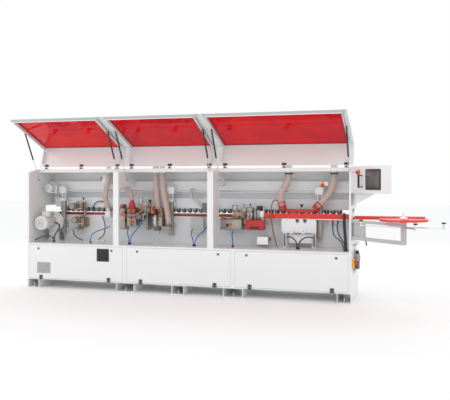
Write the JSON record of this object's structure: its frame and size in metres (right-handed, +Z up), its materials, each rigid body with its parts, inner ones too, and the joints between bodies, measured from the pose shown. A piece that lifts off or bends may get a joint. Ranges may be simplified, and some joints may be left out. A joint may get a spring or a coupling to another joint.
{
  "type": "edge banding machine",
  "caption": "Straight edge banding machine: pad chain and pressure beam past milling, gluing, trimming, scraping and buffing units under lift-up tinted hoods.",
  "frame": {"origin": "centre of the base's footprint, on the floor", "axes": "+X along the machine, from outfeed to infeed; +Y from the operator's side to the back; +Z up"},
  "size_m": [4.9243, 1.4525, 2.0117],
  "materials": {
    "floor_beams": "satin",
    "levelling_bolts": "zinc plated",
    "base_cabinet": "satin",
    "end_walls": "satin",
    "upper_casing": "satin",
    "upper_frame": "satin",
    "bed_beam": "satin",
    "hinge_leaves": "satin",
    "pressure_beam": "satin",
    "press_wheels": "matt",
    "lift_jacks": "cast and milled",
    "lift_shaft": "ground",
    "feed_motor": "painted casting",
    "feed_chain": "pads on steel chain",
    "drive_sprocket": "turned",
    "idler_sprocket": "turned",
    "buffing_unit": "painted casting",
    "buff_wheel_top": "stitched cotton",
    "buff_wheel_bottom": "stitched cotton",
    "trim_unit": "cast and milled",
    "trim_cutter_top": "turned",
    "trim_cutter_bottom": "turned",
    "scraping_unit": "milled",
    "end_trim_rails": "matt",
    "end_trim_carriage": "anodised",
    "end_trim_blade": "ground",
    "glue_pot": "painted",
    "glue_roller": "knurled",
    "roller_unit": "cast",
    "press_roller": "ground",
    "premill_unit": "satin",
    "premill_cutter_1": "turned",
    "premill_cutter_2": "turned",
    "premill_hood": "painted",
    "infeed_fence": "anodised",
    "coil_stand": "satin",
    "coil_tray": "gloss",
    "coil_arms": "plated",
    "control_box": "satin",
    "touch_screen": "gloss",
    "estop_button": "gloss",
    "main_switch": "gloss",
    "end_fittings": "cast",
    "dust_hoses": "translucent",
    "cables": "matt",
    "door_1": "satin",
    "hood_1": "satin",
    "window_1": "clear tinted",
    "strut_rods_1": "polished",
    "strut_cylinders_1": "gloss",
    "door_2": "satin",
    "hood_2": "satin",
    "window_2": "clear tinted",
    "strut_rods_2": "polished",
    "strut_cylinders_2": "gloss",
    "door_3": "satin",
    "hood_3": "satin",
    "window_3": "clear tinted",
    "strut_rods_3": "polished",
    "strut_cylinders_3": "gloss"
  },
  "bodies": {
    "machine": {"floor_beams": "floor_beams", "levelling_bolts": "levelling_bolts", "base_cabinet": "base_cabinet", "end_walls": "end_walls", "upper_casing": "upper_casing", "upper_frame": "upper_frame", "bed_beam": "bed_beam", "hinge_leaves": "hinge_leaves", "lift_jacks": "lift_jacks", "feed_motor": "feed_motor", "feed_chain": "feed_chain", "buffing_unit": "buffing_unit", "trim_unit": "trim_unit", "scraping_unit": "scraping_unit", "end_trim_rails": "end_trim_rails", "glue_pot": "glue_pot", "roller_unit": "roller_unit", "premill_unit": "premill_unit", "premill_hood": "premill_hood", "infeed_fence": "infeed_fence", "coil_stand": "coil_stand", "coil_arms": "coil_arms", "control_box": "control_box", "touch_screen": "touch_screen", "end_fittings": "end_fittings", "dust_hoses": "dust_hoses", "cables": "cables"},
    "pressure_beam": {"pressure_beam": "pressure_beam", "press_wheels": "press_wheels"},
    "lift_shaft": {"lift_shaft": "lift_shaft"},
    "drive_sprocket": {"drive_sprocket": "drive_sprocket"},
    "idler_sprocket": {"idler_sprocket": "idler_sprocket"},
    "buff_wheel_top": {"buff_wheel_top": "buff_wheel_top"},
    "buff_wheel_bottom": {"buff_wheel_bottom": "buff_wheel_bottom"},
    "trim_cutter_top": {"trim_cutter_top": "trim_cutter_top"},
    "trim_cutter_bottom": {"trim_cutter_bottom": "trim_cutter_bottom"},
    "end_trim_carriage": {"end_trim_carriage": "end_trim_carriage"},
    "end_trim_blade": {"end_trim_blade": "end_trim_blade"},
    "glue_roller": {"glue_roller": "glue_roller"},
    "press_roller": {"press_roller": "press_roller"},
    "premill_cutter_1": {"premill_cutter_1": "premill_cutter_1"},
    "premill_cutter_2": {"premill_cutter_2": "premill_cutter_2"},
    "coil_tray": {"coil_tray": "coil_tray"},
    "estop_button": {"estop_button": "estop_button"},
    "main_switch": {"main_switch": "main_switch"},
    "hood_1": {"hood_1": "hood_1", "window_1": "window_1"},
    "strut_rods_1": {"strut_rods_1": "strut_rods_1"},
    "strut_cylinders_1": {"strut_cylinders_1": "strut_cylinders_1"},
    "door_1": {"door_1": "door_1"},
    "hood_2": {"hood_2": "hood_2", "window_2": "window_2"},
    "strut_rods_2": {"strut_rods_2": "strut_rods_2"},
    "strut_cylinders_2": {"strut_cylinders_2": "strut_cylinders_2"},
    "door_2": {"door_2": "door_2"},
    "hood_3": {"hood_3": "hood_3", "window_3": "window_3"},
    "strut_rods_3": {"strut_rods_3": "strut_rods_3"},
    "strut_cylinders_3": {"strut_cylinders_3": "strut_cylinders_3"},
    "door_3": {"door_3": "door_3"}
  },
  "joints": [
    {"name": "hood_1_close", "type": "hinge", "parent": "machine", "child": "hood_1", "pos_m": [0, -0.119, 1.455], "axis": [1, 0, 0], "range_deg": [0, 113.3]},
    {"name": "strut_1_swing", "type": "hinge", "parent": "machine", "child": "strut_rods_1", "pos_m": [0, -0.174, 1.302], "axis": [1, 0, 0], "range_deg": [0, 124.5]},
    {"name": "strut_1_stroke", "type": "slide", "parent": "strut_rods_1", "child": "strut_cylinders_1", "axis": [0, -0.4785, 0.8781], "range_m": [-0.2557, 0]},
    {"name": "door_1_open", "type": "hinge", "parent": "machine", "child": "door_1", "pos_m": [0, -0.381, 0.1195], "axis": [1, 0, 0], "range_deg": [0, 90]},
    {"name": "hood_2_close", "type": "hinge", "parent": "machine", "child": "hood_2", "pos_m": [0, -0.119, 1.455], "axis": [1, 0, 0], "range_deg": [0, 113.3]},
    {"name": "strut_2_swing", "type": "hinge", "parent": "machine", "child": "strut_rods_2", "pos_m": [0, -0.174, 1.302], "axis": [1, 0, 0], "range_deg": [0, 124.5]},
    {"name": "strut_2_stroke", "type": "slide", "parent": "strut_rods_2", "child": "strut_cylinders_2", "axis": [0, -0.4785, 0.8781], "range_m": [-0.2557, 0]},
    {"name": "door_2_open", "type": "hinge", "parent": "machine", "child": "door_2", "pos_m": [0, -0.381, 0.1195], "axis": [1, 0, 0], "range_deg": [0, 90]},
    {"name": "hood_3_close", "type": "hinge", "parent": "machine", "child": "hood_3", "pos_m": [0, -0.119, 1.455], "axis": [1, 0, 0], "range_deg": [0, 113.3]},
    {"name": "strut_3_swing", "type": "hinge", "parent": "machine", "child": "strut_rods_3", "pos_m": [0, -0.174, 1.302], "axis": [1, 0, 0], "range_deg": [0, 124.5]},
    {"name": "strut_3_stroke", "type": "slide", "parent": "strut_rods_3", "child": "strut_cylinders_3", "axis": [0, -0.4785, 0.8781], "range_m": [-0.2557, 0]},
    {"name": "door_3_open", "type": "hinge", "parent": "machine", "child": "door_3", "pos_m": [0, -0.381, 0.1195], "axis": [1, 0, 0], "range_deg": [0, 90]},
    {"name": "pressure_beam_lift", "type": "slide", "parent": "machine", "child": "pressure_beam", "axis": [0, 0, 1], "range_m": [0, 0.052]},
    {"name": "lift_shaft_turn", "type": "hinge", "parent": "machine", "child": "lift_shaft", "pos_m": [0, 0.035, 1.175], "axis": [1, 0, 0], "range_deg": [0, 3125]},
    {"name": "chain_drive", "type": "hinge", "parent": "machine", "child": "drive_sprocket", "pos_m": [-1.8, 0.15, 0.78], "axis": [0, 1, 0], "continuous": true},
    {"name": "chain_idler", "type": "hinge", "parent": "machine", "child": "idler_sprocket", "pos_m": [1.8, 0.15, 0.78], "axis": [0, 1, 0], "continuous": true},
    {"name": "buff_wheel_top_spin", "type": "hinge", "parent": "machine", "child": "buff_wheel_top", "pos_m": [-1.524, 0.08, 0.977], "axis": [0, 1, 0], "continuous": true},
    {"name": "buff_wheel_bottom_spin", "type": "hinge", "parent": "machine", "child": "buff_wheel_bottom", "pos_m": [-1.489, 0.08, 0.806], "axis": [0, 1, 0], "continuous": true},
    {"name": "trim_cutter_top_spin", "type": "hinge", "parent": "machine", "child": "trim_cutter_top", "pos_m": [-0.463, 0.082, 0.946], "axis": [0, 1, 0], "continuous": true},
    {"name": "trim_cutter_bottom_spin", "type": "hinge", "parent": "machine", "child": "trim_cutter_bottom", "pos_m": [-0.572, 0.082, 0.868], "axis": [0, 1, 0], "continuous": true},
    {"name": "end_trim_stroke", "type": "slide", "parent": "machine", "child": "end_trim_carriage", "axis": [-0.7071, 0, 0.7071], "range_m": [0, 0.1]},
    {"name": "end_trim_blade_spin", "type": "hinge", "parent": "end_trim_carriage", "child": "end_trim_blade", "pos_m": [0.209, 0.088, 0.998], "axis": [1, 0, 0], "continuous": true},
    {"name": "glue_roller_spin", "type": "hinge", "parent": "machine", "child": "glue_roller", "pos_m": [0.8, 0.066, 0.9], "axis": [0, 0, 1], "continuous": true},
    {"name": "press_roller_spin", "type": "hinge", "parent": "machine", "child": "press_roller", "pos_m": [0.59, 0.054, 0.9], "axis": [0, 0, 1], "continuous": true},
    {"name": "premill_cutter_1_spin", "type": "hinge", "parent": "machine", "child": "premill_cutter_1", "pos_m": [1.265, 0.045, 0.9], "axis": [0, 0, 1], "continuous": true},
    {"name": "premill_cutter_2_spin", "type": "hinge", "parent": "machine", "child": "premill_cutter_2", "pos_m": [1.405, 0.045, 0.9], "axis": [0, 0, 1], "continuous": true},
    {"name": "coil_tray_turn", "type": "hinge", "parent": "machine", "child": "coil_tray", "pos_m": [2.49982, -0.84451, 0.917], "axis": [0, 0, 1], "continuous": true},
    {"name": "stop_button_push", "type": "slide", "parent": "machine", "child": "estop_button", "axis": [0.7694, 0.6388, 0], "range_m": [0, 0.006], "stiffness_N_per_m": 600},
    {"name": "main_switch_turn", "type": "hinge", "parent": "machine", "child": "main_switch", "pos_m": [1.9705, -0.232, 0.42], "axis": [1, 0, 0], "range_deg": [0, 90]}
  ],
  "couplings": [
    {"joint": "strut_1_swing", "follows": "hood_1_close", "ratio": 1.0962},
    {"joint": "strut_1_stroke", "follows": "hood_1_close", "m_per_rad": -0.12926},
    {"joint": "strut_2_swing", "follows": "hood_2_close", "ratio": 1.0962},
    {"joint": "strut_2_stroke", "follows": "hood_2_close", "m_per_rad": -0.12926},
    {"joint": "strut_3_swing", "follows": "hood_3_close", "ratio": 1.0962},
    {"joint": "strut_3_stroke", "follows": "hood_3_close", "m_per_rad": -0.12926},
    {"joint": "lift_shaft_turn", "follows": "pressure_beam_lift", "rad_per_m": 1047.2},
    {"joint": "chain_idler", "follows": "chain_drive", "ratio": 1}
  ]
}
